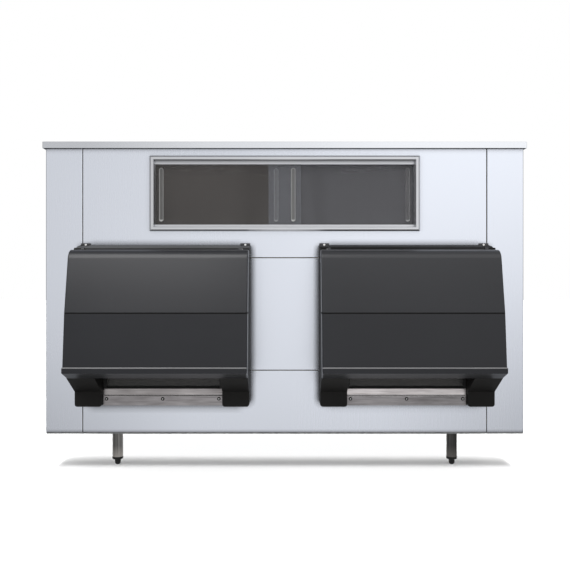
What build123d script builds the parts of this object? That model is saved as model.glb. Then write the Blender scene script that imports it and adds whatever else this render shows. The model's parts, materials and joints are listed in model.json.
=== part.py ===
from build123d import *
import math
import os

# Ice storage bin: a foamed stainless cabinet on four legs, with two lift-up scoop doors
# and a sliding window above them. An ice machine stands on its top cover.
# Millimetres. +Z is up, the front faces -Y, and the origin is on the floor under the
# middle of the whole object. "Reach" below is a distance outwards from the front face.

# Whole object
body_width = 1829.0
body_depth = 864.0
overall_height = 1270.0
leg_height = 152.4
door_reach = 240.0

# Sheet metal of the cabinet
sheet = 1.2
fold = 15.0
seam_gap = 3.0
seam_from_side = 141.0
lower_seam_z = 396.0
upper_seam_z = 826.7
rear_flange = 25.0
base_sheet = 1.5
base_skirt = 6.6
base_setback = 1.0

# Top cover
cover_sheet = 1.5
cover_lip = 25.0
cover_side_overhang = 10.5
cover_front_overhang = 10.0
cover_back_overhang = 2.0
cover_bend = 2.5
drop_from_side = 204.5
drop_setback = 85.0
drop_depth = 285.0
drop_collar = 22.0
drop_radius = 20.0

# Moulded liner
wall = 55.0
liner_wall = 4.0
liner_radius = 60.0
liner_flange = 26.0
floor_z = 236.0
floor_fall = 14.0
sump_radius = 55.0
sump_depth = 8.0
sump_from_wall = 95.0

# Scoop doors and their frames, both alike
frame_from_side = 134.5
frame_width = 648.0
throat_width = 448.0
throat_top_z = 830.0
throat_radius = 22.0
frame_wall = 4.0
frame_top_z = 875.0
nose_bend_reach = 45.0
nose_bend_z = 868.0
nose_reach = 60.0
nose_z = 863.0
frame_front_reach = 74.0
cheek_shelf_z = 803.0
foot_reach = 81.0
foot_bottom_z = 270.0
foot_top_z = 326.0
foot_radius = 10.0
rib_thickness = 3.0
rib_heights = (440.0, 560.0, 680.0)

# Hinge
hinge_reach = 84.0
hinge_z = 853.5
pin_radius = 3.5
pin_fit = 0.03
running_fit = 0.05
knuckle_block = 16.0
knuckle_radius = 7.5
knuckle_width = 12.0
lug_radius = 7.0
lug_width = 24.0
hinge_side_gap = 1.8
notch_clearance = 3.5

# Door panel
door_wall = 4.0
door_rear_reach = 80.0
door_top_z = 850.0
door_top_bend = 42.0
door_top_reach = 160.0
door_mid_reach = 208.3
door_mid_z = 622.3
door_low_reach = 228.5
lip_top_z = 434.1
lip_bottom_z = 412.9
lip_top_radius = 6.0
lip_bottom_radius = 8.0
door_back_reach = 181.0
door_back_z = 388.5
door_back_lean = 10.0
door_step_z = 805.0
door_edge_radius = 4.0
edge_start_reach = 150.0
door_gap = 2.0
groove_width = 7.0
groove_depth = 2.2
plug_width = 410.0
plug_bottom_z = 430.0
plug_top_z = 785.0
plug_rise = 14.0
plug_radius = 18.0
bumper_radius = 8.0
bumper_heights = (430.0, 750.0)
seat_clearance = 0.3

# Stainless sill under each scoop opening
sill_reach = 62.0
sill_bottom_z = 272.0
sill_bend_z = 307.0
sill_step_reach = 58.0
sill_step_z = 311.0
sill_top_reach = 56.0
sill_top_z = 335.0
sill_inner_reach = 58.0
sill_turn_down = 15.0
sill_side_gap = 1.0
rail_ease = 3.0
sill_screw_z = 296.5
sill_screw_offset = 210.0
sill_screw_head = 6.5
sill_screw_radius = 2.5

# Corner clips that hold each frame to the face
clip_width = 36.0
clip_sheet = 2.0
clip_height = 16.0
clip_depth = 38.0
clip_seat_z = 865.5
clip_offset = 305.0
clip_screw_head = 5.0
clip_screw_radius = 2.0

# Clear ice shield that slides up behind each door
shield_reach = 48.0
shield_thickness = 4.0
shield_height = 302.0
shield_lift = 180.0
track_width = 12.0
track_wall = 2.0
track_slot = 6.0
track_end_gap = 0.5
seal_height = 8.0
seal_wall = 2.0
grip_length = 300.0
grip_height = 12.0
grip_reach = 20.0
grip_wall = 3.0

# Sliding window
window_from_side = 413.5
window_above_frames = 70.0
window_below_top = 69.0
bezel_width = 15.5
bezel_reach = 6.0
bezel_bevel = 5.0
window_body = 10.0
window_depth = 44.0
window_wall = 2.0
track_front = 20.0
pane_slot = 7.0
lip_thickness = 2.0
bottom_lip = 10.2
top_lip = 13.2
pane_thickness = 5.0
pane_end_depth = 6.0
pane_overlap_half = 63.0
pane_bottom_play = 0.4
pane_lift_play = 5.0
slot_end_depth = 8.0
pull_inset = 30.0
pull_width = 20.0
pull_depth = 3.2
pull_end_gap = 11.3
window_fit = 0.5

# Legs and levelling feet
leg_from_side = 241.0
front_leg_setback = 145.0
rear_leg_setback = 725.0
leg_radius = 20.65
leg_wall = 1.65
leg_tube_bottom = 32.0
plate_side = 90.0
plate_corner = 4.0
plate_thickness = 4.0
plate_bolt_spacing = 68.0
bolt_radius = 4.0
bolt_head_radius = 7.5
bolt_head_height = 5.5
weld_nut_radius = 8.0
weld_nut_height = 8.0
plug_flange = 10.0
plug_overhang = 0.8
plug_depth = 26.0
foot_radius_wide = 12.0
foot_rim = 2.0
foot_tip_radius = 6.0
stem_radius = 5.0
stem_top_z = 86.0
foot_travel = 20.0

# Drain
drain_flange_radius = 36.0
drain_flange_height = 3.0
drain_body_radius = 19.0
drain_bore_radius = 12.05
drain_thread_length = 25.0
drain_passage_radius = 10.0
drain_bottom_z = 120.0
drain_nut_side = 25.0
drain_nut_height = 8.0
strainer_radius = 30.0
strainer_sheet = 1.2
strainer_hole = 2.5
strainer_pitch = 9.0

# Rear screws
rear_screw_head = 4.5
rear_screw_radius = 2.0
rear_screw_height = 1.6
rear_screw_count = 7

# Places worked out from the sizes above
overall_depth = door_reach + body_depth + cover_back_overhang
face_y = door_reach - overall_depth / 2
back_y = face_y + body_depth
body_half = body_width / 2
seam_x = body_half - seam_from_side
cover_under_z = overall_height - cover_sheet
drop_width = 2 * (body_half - drop_from_side)
drop_mid_y = face_y + drop_setback + drop_depth / 2
panel_top_z = cover_under_z
panel_bottom_z = leg_height + base_skirt
base_top_z = panel_bottom_z
base_z = base_top_z - base_sheet
throat_half = throat_width / 2
throat_bottom_z = sill_top_z - sheet
frame_half = frame_width / 2
door_center_x = body_half - frame_from_side - frame_half
leg_x = body_half - leg_from_side
window_half_width = body_half - window_from_side
window_bottom_z = frame_top_z + window_above_frames
window_top_z = overall_height - window_below_top
pane_low_z = window_bottom_z + bottom_lip
pane_high_z = window_top_z - top_lip
pull_height = pane_high_z - pane_low_z - 2 * pull_end_gap
lean = math.radians(door_back_lean)
clip_screw_z = clip_seat_z + clip_sheet + clip_height / 2
knuckle_outer = frame_half - lug_width - hinge_side_gap
door_centers = {"left": -door_center_x, "right": door_center_x}
clip_places = [
    center + side * clip_offset for center in door_centers.values() for side in (-1, 1)
]
leg_places = {
    "front_left": (-leg_x, face_y + front_leg_setback),
    "front_right": (leg_x, face_y + front_leg_setback),
    "rear_left": (-leg_x, face_y + rear_leg_setback),
    "rear_right": (leg_x, face_y + rear_leg_setback),
}
sump_y = back_y - wall - sump_from_wall
sump_z = floor_z - floor_fall - sump_depth

os.makedirs("parts", exist_ok=True)


def save(piece, name):
    """Label a finished piece and write it to its file."""
    piece.label = name
    export_step(piece, "parts/" + name + ".step")


def front_plane(reach=0.0, x=0.0, z=0.0):
    """A plane parallel to the front face: X to the right, Z up, normal outwards."""
    return Plane(origin=(x, face_y - reach, z), x_dir=(1, 0, 0), z_dir=(0, -1, 0))


def side_plane(x=0.0):
    """A plane for side profiles drawn as (reach, z)."""
    return Plane(origin=(x, face_y, 0), x_dir=(0, -1, 0), z_dir=(-1, 0, 0))


def bent_sheet(plane, points, side):
    """The section of a folded sheet whose outer faces follow the points."""
    with BuildSketch(plane) as section:
        with BuildLine():
            FilletPolyline(*points, radius=2 * sheet)
            offset(amount=sheet, side=side)
        make_face()
    return section.sketch


def front_rectangle(x, z_low, z_high, half_width, radius=0.0):
    """Draw a rectangle of the front view, with round corners if it has a radius."""
    with Locations((x, (z_low + z_high) / 2)):
        if radius > 0:
            RectangleRounded(2 * half_width, z_high - z_low, radius)
        else:
            Rectangle(2 * half_width, z_high - z_low)


# Openings in the front wall

def draw_throats(grow):
    """Draw both scoop throats in the front view, grown by a margin, round at the top."""
    low = throat_bottom_z - grow
    high = throat_top_z + grow
    for x in door_centers.values():
        front_rectangle(x, low, high, throat_half + grow, throat_radius + grow)
        front_rectangle(x, low, high - 2 * throat_radius, throat_half + grow)


def draw_window(grow):
    """Draw the window frame's body in the front view, grown by a margin."""
    edge = window_body + grow
    low = window_bottom_z - edge
    high = window_top_z + edge
    front_rectangle(0, low, high, window_half_width + edge)


# Outer panels

def front_panel(z_low, z_high):
    """A stainless front panel with its edges folded back, cut out round the openings."""
    half = seam_x - seam_gap / 2
    with BuildPart() as panel:
        with BuildSketch(front_plane()):
            front_rectangle(0, z_low, z_high, half)
        extrude(amount=-fold)
        fillet(panel.faces().sort_by(Axis.Y)[0].edges(), sheet)
        with BuildSketch(front_plane(-sheet)):
            front_rectangle(0, z_low + sheet, z_high - sheet, half - sheet)
        extrude(amount=-fold, mode=Mode.SUBTRACT)
        with BuildSketch(front_plane()):
            draw_throats(liner_wall + window_fit)
            draw_window(window_fit)
        extrude(amount=-fold, mode=Mode.SUBTRACT)
        with BuildSketch(front_plane()):
            for x in clip_places:
                with Locations((x, clip_screw_z)):
                    Circle(clip_screw_radius + pin_fit)
        extrude(amount=-sheet, mode=Mode.SUBTRACT)
    return panel


lower_panel = front_panel(panel_bottom_z, lower_seam_z - seam_gap / 2)
save(lower_panel.part, "front_lower_panel")
center_row = front_panel(lower_seam_z + seam_gap / 2, upper_seam_z - seam_gap / 2)
center_pieces = center_row.part.solids().sort_by(Axis.X)
save(center_pieces[0], "front_center_left_panel")
save(center_pieces[1], "front_center_panel")
save(center_pieces[2], "front_center_right_panel")
upper_panel = front_panel(upper_seam_z + seam_gap / 2, panel_top_z)
save(upper_panel.part, "front_upper_panel")


def rear_screw_places():
    """The places of the rear screws, down both flanges."""
    rise = (panel_top_z - panel_bottom_z) / (rear_screw_count + 1)
    x = body_half - rear_flange / 2
    places = []
    for row in range(1, rear_screw_count + 1):
        places.append((-x, panel_bottom_z + row * rise))
        places.append((x, panel_bottom_z + row * rise))
    return places


def side_panel(sign):
    """A side panel that wraps round to the front seam and a little way onto the back."""
    inner = seam_x + seam_gap / 2
    section = bent_sheet(
        Plane.XY.offset(panel_bottom_z),
        [
            (sign * inner, face_y + fold),
            (sign * inner, face_y),
            (sign * body_half, face_y),
            (sign * body_half, back_y),
            (sign * (body_half - rear_flange), back_y),
        ],
        Side.LEFT if sign > 0 else Side.RIGHT,
    )
    with BuildPart() as panel:
        extrude(section, amount=panel_top_z - panel_bottom_z)
        with BuildSketch(front_plane(face_y - back_y)):
            with Locations(*rear_screw_places()):
                Circle(rear_screw_radius + pin_fit)
        extrude(amount=sheet, mode=Mode.SUBTRACT)
    return panel


save(side_panel(-1).part, "left_side_panel")
save(side_panel(1).part, "right_side_panel")

with BuildPart() as back_panel:
    with BuildSketch(front_plane(face_y - back_y + sheet)):
        front_rectangle(0, panel_bottom_z, panel_top_z, body_half - 2 * sheet - seat_clearance)
    extrude(amount=sheet)
    with BuildSketch(front_plane(face_y - back_y + sheet)):
        with Locations(*rear_screw_places()):
            Circle(rear_screw_radius + pin_fit)
    extrude(amount=sheet, mode=Mode.SUBTRACT)
save(back_panel.part, "back_panel")


with BuildPart() as back_screws:
    with BuildSketch(front_plane(face_y - back_y)):
        with Locations(*rear_screw_places()):
            Circle(rear_screw_head)
    extrude(amount=-rear_screw_height)
    chamfer(back_screws.faces().group_by(Axis.Y)[-1].edges(), rear_screw_height / 2)
    with BuildSketch(front_plane(face_y - back_y)):
        with Locations(*rear_screw_places()):
            Circle(rear_screw_radius)
    extrude(amount=2 * sheet)
save(back_screws.part, "back_screws")

# Base pan: a plate with a turned-down skirt and the weld nuts that take the leg bolts


def leg_bolt_grid():
    """The plan positions of all sixteen leg bolts."""
    half = plate_bolt_spacing / 2
    grid = []
    for x, y in leg_places.values():
        for dx in (-half, half):
            for dy in (-half, half):
                grid.append((x + dx, y + dy))
    return grid


body_mid_y = (face_y + back_y) / 2
base_half = body_half - base_setback
base_depth = body_depth - 2 * base_setback

with BuildPart() as base_pan:
    with BuildSketch(Plane.XY.offset(leg_height)):
        with Locations((0, body_mid_y)):
            Rectangle(2 * base_half, base_depth)
    extrude(amount=base_skirt)
    with BuildSketch(Plane.XY.offset(leg_height)):
        with Locations((0, body_mid_y)):
            Rectangle(2 * (base_half - base_sheet), base_depth - 2 * base_sheet)
    extrude(amount=base_skirt - base_sheet, mode=Mode.SUBTRACT)
    with BuildSketch(Plane.XY.offset(base_top_z)):
        with Locations(*leg_bolt_grid()):
            Circle(weld_nut_radius)
    extrude(amount=weld_nut_height)
    with BuildSketch(Plane.XY.offset(base_z)):
        with Locations(*leg_bolt_grid()):
            Circle(bolt_radius + pin_fit)
        with Locations((0, sump_y)):
            Circle(drain_body_radius + window_fit)
    extrude(amount=base_sheet + weld_nut_height, mode=Mode.SUBTRACT)
save(base_pan.part, "base_pan")

# Top cover: a shallow lid with a turned-down lip and the drop opening for the ice

cover_front_y = face_y - cover_front_overhang
cover_back_y = back_y + cover_back_overhang
cover_half = body_half + cover_side_overhang
cover_mid_y = (cover_front_y + cover_back_y) / 2

with BuildPart() as top_cover:
    with BuildSketch(Plane.XY.offset(overall_height)):
        with Locations((0, cover_mid_y)):
            Rectangle(2 * cover_half, cover_back_y - cover_front_y)
    extrude(amount=-cover_lip)
    fillet(top_cover.edges().filter_by(Axis.Z), cover_bend)
    fillet(top_cover.faces().sort_by(Axis.Z)[-1].edges(), cover_bend)
    with BuildSketch(Plane.XY.offset(cover_under_z)):
        with Locations((0, cover_mid_y)):
            RectangleRounded(
                2 * (cover_half - cover_sheet),
                cover_back_y - cover_front_y - 2 * cover_sheet,
                cover_bend - cover_sheet,
            )
    extrude(amount=-cover_lip, mode=Mode.SUBTRACT)
    with BuildSketch(Plane.XY.offset(cover_under_z)):
        with Locations((0, drop_mid_y)):
            RectangleRounded(drop_width, drop_depth, drop_radius)
    extrude(amount=-drop_collar)
    with BuildSketch(Plane.XY.offset(overall_height)):
        with Locations((0, drop_mid_y)):
            RectangleRounded(
                drop_width - 2 * cover_sheet, drop_depth - 2 * cover_sheet, drop_radius - cover_sheet
            )
    extrude(amount=-cover_sheet - drop_collar, mode=Mode.SUBTRACT)
save(top_cover.part, "top_cover")

# Liner: one moulded tub with a falling floor, two scoop throats and a window throat


def tub_block(inset):
    """The tub as a full block, its walls and floor moved inwards by the inset."""
    front = face_y + wall - liner_wall + inset
    back = back_y - wall + liner_wall - inset
    half = body_half - wall + liner_wall - inset
    front_floor = floor_z - liner_wall + inset
    back_floor = front_floor - floor_fall
    with BuildPart() as block:
        with BuildSketch(Plane.YZ):
            with BuildLine():
                Polyline(
                    (front, cover_under_z),
                    (front, front_floor),
                    (back, back_floor),
                    (back, cover_under_z),
                    close=True,
                )
            make_face()
        extrude(amount=half, both=True)
        rounded = block.edges().filter_by(Axis.Z) + block.faces().sort_by(Axis.Z)[0].edges()
        fillet(rounded, liner_radius - inset)
    return block.part


tub_outside = tub_block(0)
tub_inside = tub_block(liner_wall)

with BuildPart() as liner_outside:
    add(tub_outside)
    with BuildSketch(front_plane()):
        draw_throats(liner_wall)
    extrude(amount=-wall)
    with BuildSketch(front_plane(-sheet)):
        draw_window(liner_wall + window_fit)
    extrude(amount=-(wall - sheet))
    with BuildSketch(Plane.XY.offset(sump_z - liner_wall)):
        with Locations((0, sump_y)):
            Circle(sump_radius + liner_wall)
    extrude(amount=sump_depth + floor_fall)
    with BuildSketch(Plane.XY.offset(cover_under_z)):
        with Locations((0, body_mid_y)):
            RectangleRounded(
                2 * (body_half - wall + liner_flange),
                body_depth - 2 * (wall - liner_flange),
                liner_radius,
            )
    extrude(amount=-liner_wall)

with BuildPart() as liner:
    add(liner_outside.part)
    add(tub_inside, mode=Mode.SUBTRACT)
    with BuildSketch(front_plane()):
        draw_throats(0)
        draw_window(window_fit)
    extrude(amount=-wall - liner_wall, mode=Mode.SUBTRACT)
    with BuildSketch(Plane.XY.offset(sump_z)):
        with Locations((0, sump_y)):
            Circle(sump_radius)
    extrude(amount=sump_depth + floor_fall, mode=Mode.SUBTRACT)
    with BuildSketch(Plane.XY.offset(sump_z - liner_wall)):
        with Locations((0, sump_y)):
            Circle(drain_body_radius + window_fit)
    extrude(amount=liner_wall, mode=Mode.SUBTRACT)
save(liner.part, "liner")

# Foam that fills the space between the liner and the outer panels

foam_top_z = cover_under_z - liner_wall
foam_front_y = face_y + fold
foam_back_y = back_y - 2 * sheet
with BuildPart() as insulation:
    with BuildSketch(Plane.XY.offset(base_top_z)):
        with Locations((0, (foam_front_y + foam_back_y) / 2)):
            Rectangle(2 * (body_half - sheet), foam_back_y - foam_front_y)
    extrude(amount=foam_top_z - base_top_z)
    add(liner_outside.part, mode=Mode.SUBTRACT)
    with BuildSketch(Plane.XY.offset(base_top_z)):
        with Locations(*leg_bolt_grid()):
            Circle(weld_nut_radius)
    extrude(amount=weld_nut_height, mode=Mode.SUBTRACT)
    with BuildSketch(Plane.XY.offset(base_top_z)):
        with Locations((0, sump_y)):
            Circle(drain_body_radius + window_fit)
    extrude(amount=sump_z - base_top_z, mode=Mode.SUBTRACT)
save(insulation.part, "insulation")

# Drain through the floor at the low end

with BuildPart() as drain_fitting:
    with BuildSketch(Plane.XY.offset(sump_z)):
        with Locations((0, sump_y)):
            Circle(drain_flange_radius)
    extrude(amount=drain_flange_height)
    with BuildSketch(Plane.XY.offset(drain_bottom_z)):
        with Locations((0, sump_y)):
            Circle(drain_body_radius)
    extrude(amount=sump_z - drain_bottom_z)
    with BuildSketch(Plane.XY.offset(drain_bottom_z)):
        with Locations((0, sump_y)):
            Circle(drain_bore_radius)
    extrude(amount=drain_thread_length, mode=Mode.SUBTRACT)
    with BuildSketch(Plane.XY.offset(drain_bottom_z)):
        with Locations((0, sump_y)):
            Circle(drain_passage_radius)
    extrude(amount=sump_z + drain_flange_height - drain_bottom_z, mode=Mode.SUBTRACT)
save(drain_fitting.part, "drain_fitting")

with BuildPart() as drain_nut:
    with BuildSketch(Plane.XY.offset(base_z)):
        with Locations((0, sump_y)):
            RegularPolygon(drain_nut_side, 6, major_radius=False)
            Circle(drain_body_radius + pin_fit, mode=Mode.SUBTRACT)
    extrude(amount=-drain_nut_height)
save(drain_nut.part, "drain_nut")

with BuildPart() as drain_strainer:
    with BuildSketch(Plane.XY.offset(sump_z + drain_flange_height)):
        with Locations((0, sump_y)):
            Circle(strainer_radius)
            with HexLocations(strainer_pitch / 2, 5, 5):
                Circle(strainer_hole, mode=Mode.SUBTRACT)
    extrude(amount=strainer_sheet)
save(drain_strainer.part, "drain_strainer")

# Legs, their end plugs, bolts and levelling feet

plate_bottom_z = base_z - plate_thickness
shoulder_z = leg_tube_bottom - plug_flange


def leg(x, y):
    """A round tube welded under a bolted top plate."""
    with BuildPart() as tube:
        with BuildSketch(Plane.XY.offset(leg_tube_bottom)):
            with Locations((x, y)):
                Circle(leg_radius)
                Circle(leg_radius - leg_wall, mode=Mode.SUBTRACT)
        extrude(amount=plate_bottom_z - leg_tube_bottom)
        with BuildSketch(Plane.XY.offset(plate_bottom_z)):
            with Locations((x, y)):
                RectangleRounded(plate_side, plate_side, plate_corner)
                with GridLocations(plate_bolt_spacing, plate_bolt_spacing, 2, 2):
                    Circle(bolt_radius + window_fit, mode=Mode.SUBTRACT)
        extrude(amount=plate_thickness)
    return tube.part


def leg_plug(x, y):
    """The black plug that closes the tube and holds the foot's thread."""
    with BuildPart() as plug:
        with BuildSketch(Plane.XY.offset(shoulder_z)):
            with Locations((x, y)):
                Circle(leg_radius + plug_overhang)
        extrude(amount=plug_flange)
        fillet(plug.faces().sort_by(Axis.Z)[0].edges(), plug_flange / 3)
        with BuildSketch(Plane.XY.offset(leg_tube_bottom)):
            with Locations((x, y)):
                Circle(leg_radius - leg_wall - pin_fit)
        extrude(amount=plug_depth)
        with BuildSketch(Plane.XY.offset(shoulder_z)):
            with Locations((x, y)):
                Circle(stem_radius + running_fit)
        extrude(amount=plug_flange + plug_depth, mode=Mode.SUBTRACT)
    return plug.part


def levelling_foot(x, y):
    """A bullet-shaped foot with its threaded stem, screwed fully in."""
    shoulder = shoulder_z - seat_clearance
    with BuildPart() as foot:
        with BuildSketch(Plane(origin=(x, y, 0), x_dir=(1, 0, 0), z_dir=(0, -1, 0))):
            with BuildLine():
                Line((0, 0), (foot_tip_radius, 0))
                RadiusArc(
                    (foot_tip_radius, 0), (foot_radius_wide, shoulder / 2), -foot_radius_wide
                )
                Polyline(
                    (foot_radius_wide, shoulder / 2),
                    (foot_radius_wide, shoulder - foot_rim),
                    (foot_radius_wide - foot_rim, shoulder),
                    (stem_radius, shoulder),
                    (stem_radius, stem_top_z),
                    (0, stem_top_z),
                    (0, 0),
                )
            make_face()
        revolve(axis=Axis((x, y, 0), (0, 0, 1)))
    return foot.part


for place, (x, y) in leg_places.items():
    save(leg(x, y), place + "_leg")
    save(leg_plug(x, y), place + "_leg_plug")
    save(levelling_foot(x, y), place + "_foot")

with BuildPart() as leg_bolts:
    with BuildSketch(Plane.XY.offset(plate_bottom_z)):
        with Locations(*leg_bolt_grid()):
            RegularPolygon(bolt_head_radius, 6)
    extrude(amount=-bolt_head_height)
    with BuildSketch(Plane.XY.offset(plate_bottom_z)):
        with Locations(*leg_bolt_grid()):
            Circle(bolt_radius)
    extrude(amount=base_top_z + weld_nut_height - plate_bottom_z)
save(leg_bolts.part, "leg_bolts")

# Door frames: open-backed mouldings with two deep cheeks, a nose above and a rail below


def back_line_reach(z):
    """Reach of the closed door's back face at a height."""
    return door_back_reach - (z - door_back_z) * math.tan(lean)


def cheek_outline(margin=0.0):
    """The cheek's side outline, with its front, top and bottom moved in by a margin."""
    front_shift = door_gap + margin / math.cos(lean)
    slope = math.atan2(door_back_z - foot_top_z, door_back_reach - door_gap - foot_reach)
    under_shift = margin / math.cos(slope)
    shelf = cheek_shelf_z - margin
    low_front = back_line_reach(door_back_z) - front_shift
    low_z = foot_top_z + (low_front - foot_reach) * math.tan(slope) + under_shift
    foot_shift = margin * math.tan(slope)
    return [
        (0, frame_top_z - 2 * margin),
        (nose_bend_reach - margin, nose_bend_z - 2 * margin),
        (nose_reach - margin, nose_z - 2 * margin),
        (frame_front_reach - margin, hinge_z - margin),
        (frame_front_reach - margin, shelf),
        (back_line_reach(shelf) - front_shift, shelf),
        (low_front, low_z),
        (foot_reach - margin, foot_top_z + under_shift - foot_shift),
        (foot_reach - margin, foot_bottom_z + margin),
        (0, foot_bottom_z + margin),
    ]


rail_front_reach = sill_reach - sheet
rail_outline = [
    (0, sill_bottom_z),
    (rail_front_reach, sill_bottom_z),
    (rail_front_reach, sill_bend_z - rail_ease),
    (sill_top_reach - rail_ease, sill_step_z - rail_ease),
    (sill_top_reach - rail_ease, sill_top_z - sheet),
    (0, sill_top_z - sheet),
]


def cheek_hollow(x_low, x_high):
    """The space inside one cheek, open at the back."""
    width = x_high - x_low
    middle = (x_low + x_high) / 2
    points = cheek_outline(frame_wall)
    points[0] = (0, clip_seat_z - frame_wall)
    points[1] = (nose_bend_reach - frame_wall, clip_seat_z - frame_wall)
    with BuildPart() as hollow:
        with BuildSketch(side_plane(middle)):
            Polygon(*points)
        extrude(amount=width / 2, both=True)
        for rib_z in rib_heights:
            with Locations((middle, face_y, rib_z)):
                Box(width, 2 * door_reach, rib_thickness, mode=Mode.SUBTRACT)
    return hollow.part


def door_frame(center):
    """The fixed frame of one scoop door."""
    with BuildPart() as frame:
        with BuildSketch(side_plane(center)):
            Polygon(*cheek_outline())
        extrude(amount=frame_half, both=True)
        with BuildSketch(front_plane()):
            front_rectangle(center, foot_bottom_z - fold, throat_top_z, throat_half)
        extrude(amount=door_reach, mode=Mode.SUBTRACT)
        lower_edges = frame.edges().filter_by(Axis.Y).group_by(Axis.Z)[0]
        fillet(lower_edges, foot_radius)
        with BuildSketch(side_plane(center)):
            Polygon(*rail_outline)
        extrude(amount=throat_half, both=True)
        for side in (-1, 1):
            near = center + side * (throat_half + frame_wall)
            far = center + side * (frame_half - frame_wall)
            add(cheek_hollow(min(near, far), max(near, far)), mode=Mode.SUBTRACT)
        with BuildSketch(side_plane(center)):
            Polygon(
                [
                    (0, throat_top_z + frame_wall),
                    (frame_front_reach - frame_wall, throat_top_z + frame_wall),
                    (frame_front_reach - frame_wall, hinge_z - frame_wall),
                    (nose_reach - frame_wall, nose_z - frame_wall),
                    (0, frame_top_z - 2 * frame_wall),
                ]
            )
        extrude(amount=throat_half - frame_wall, both=True, mode=Mode.SUBTRACT)
        with BuildSketch(side_plane(center)):
            Polygon(
                [
                    (0, sill_bottom_z + frame_wall),
                    (rail_front_reach - frame_wall, sill_bottom_z + frame_wall),
                    (rail_front_reach - frame_wall, sill_bend_z - rail_ease - frame_wall),
                    (sill_top_reach - rail_ease - frame_wall, sill_step_z - rail_ease - frame_wall),
                    (sill_top_reach - rail_ease - frame_wall, sill_top_z - sheet - frame_wall),
                    (0, sill_top_z - sheet - frame_wall),
                ]
            )
        extrude(amount=throat_half - frame_wall, both=True, mode=Mode.SUBTRACT)
        for side in (-1, 1):
            outer_x = center + side * (frame_half - lug_width / 2)
            with BuildSketch(side_plane(outer_x)):
                with Locations((hinge_reach, hinge_z)):
                    Circle(lug_radius)
                Polygon(
                    [
                        (frame_front_reach - 2 * frame_wall, hinge_z - lug_radius),
                        (hinge_reach, hinge_z - lug_radius),
                        (hinge_reach, hinge_z + lug_radius / 2),
                        (frame_front_reach - 2 * frame_wall, hinge_z + lug_radius / 2),
                    ]
                )
            extrude(amount=lug_width / 2, both=True)
            with BuildSketch(side_plane(outer_x)):
                with Locations((hinge_reach, hinge_z)):
                    Circle(pin_radius + pin_fit)
            extrude(amount=lug_width / 2, both=True, mode=Mode.SUBTRACT)
            with BuildSketch(front_plane()):
                clip_x = center + side * clip_offset
                half = clip_width / 2 + seat_clearance
                front_rectangle(clip_x, clip_seat_z, frame_top_z + clip_height, half)
            extrude(amount=clip_depth + seat_clearance, mode=Mode.SUBTRACT)
        with BuildSketch(front_plane(rail_front_reach)):
            for dx in (-sill_screw_offset, 0, sill_screw_offset):
                with Locations((center + dx, sill_screw_z)):
                    Circle(sill_screw_radius + pin_fit)
        extrude(amount=-frame_wall, mode=Mode.SUBTRACT)
    return frame


def sill(center):
    """The folded stainless sill that covers the rail and the throat's floor."""
    section = bent_sheet(
        side_plane(center),
        [
            (sill_reach, sill_bottom_z),
            (sill_reach, sill_bend_z),
            (sill_step_reach, sill_step_z),
            (sill_top_reach, sill_top_z),
            (-sill_inner_reach, sill_top_z),
            (-sill_inner_reach, sill_top_z - sill_turn_down),
        ],
        Side.LEFT,
    )
    with BuildPart() as folded:
        extrude(section, amount=throat_half - sill_side_gap, both=True)
        with BuildSketch(front_plane(sill_reach)):
            for dx in (-sill_screw_offset, 0, sill_screw_offset):
                with Locations((center + dx, sill_screw_z)):
                    Circle(sill_screw_radius + pin_fit)
        extrude(amount=-sheet, mode=Mode.SUBTRACT)
    return folded


def frame_clips():
    """The angle clips that sit in both frames' top corners."""
    with BuildPart() as clips:
        for x in clip_places:
            with BuildSketch(side_plane(x)):
                Polygon(
                    [
                        (0, clip_seat_z),
                        (clip_depth, clip_seat_z),
                        (clip_depth, clip_seat_z + clip_sheet),
                        (clip_sheet, clip_seat_z + clip_sheet),
                        (clip_sheet, clip_seat_z + clip_height),
                        (0, clip_seat_z + clip_height),
                    ]
                )
            extrude(amount=clip_width / 2, both=True)
            with BuildSketch(front_plane()):
                with Locations((x, clip_screw_z)):
                    Circle(clip_screw_radius + pin_fit)
            extrude(amount=clip_sheet, mode=Mode.SUBTRACT)
    return clips


def pan_head_screws(places, seat_reach, head_radius, shank_radius, shank_length):
    """Round-headed screws driven into the front, as separate solids."""
    head_height = head_radius / 2
    with BuildPart() as screws:
        with BuildSketch(front_plane(seat_reach)):
            with Locations(*places):
                Circle(head_radius)
        extrude(amount=head_height)
        fillet(screws.faces().group_by(Axis.Y)[0].edges(), head_height * 0.8)
        with BuildSketch(front_plane(seat_reach)):
            with Locations(*places):
                Circle(shank_radius)
        extrude(amount=-shank_length)
        with BuildSketch(front_plane(seat_reach + head_height)):
            with Locations(*places):
                Rectangle(head_radius, head_radius / 5)
                Rectangle(head_radius / 5, head_radius)
        extrude(amount=-head_height / 2, mode=Mode.SUBTRACT)
    return screws


def shield_tracks(center):
    """Two upright channels on the cheeks' inner faces that guide the ice shield."""
    slot_center = shield_reach + shield_thickness / 2
    depth = track_slot + 2 * track_wall
    with BuildPart() as tracks:
        for side in (-1, 1):
            wall_x = center + side * throat_half
            with BuildSketch(Plane.XY.offset(sill_top_z + seat_clearance)):
                with Locations((wall_x - side * track_width / 2, face_y - slot_center)):
                    Rectangle(track_width, depth)
                slot_x = wall_x - side * (track_width / 2 + track_wall)
                with Locations((slot_x, face_y - slot_center)):
                    Rectangle(track_width, track_slot, mode=Mode.SUBTRACT)
            extrude(amount=throat_top_z - sill_top_z - 2 * seat_clearance)
    return tracks


def back_face_plane(x, z, step_out=0.0):
    """A plane on the closed door's back face, its normal pointing out of the bin."""
    origin = Vector(x, face_y - back_line_reach(z), z)
    normal = Vector(0, -math.cos(lean), math.sin(lean))
    return Plane(origin=origin + normal * step_out, x_dir=(1, 0, 0), z_dir=normal)


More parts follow.
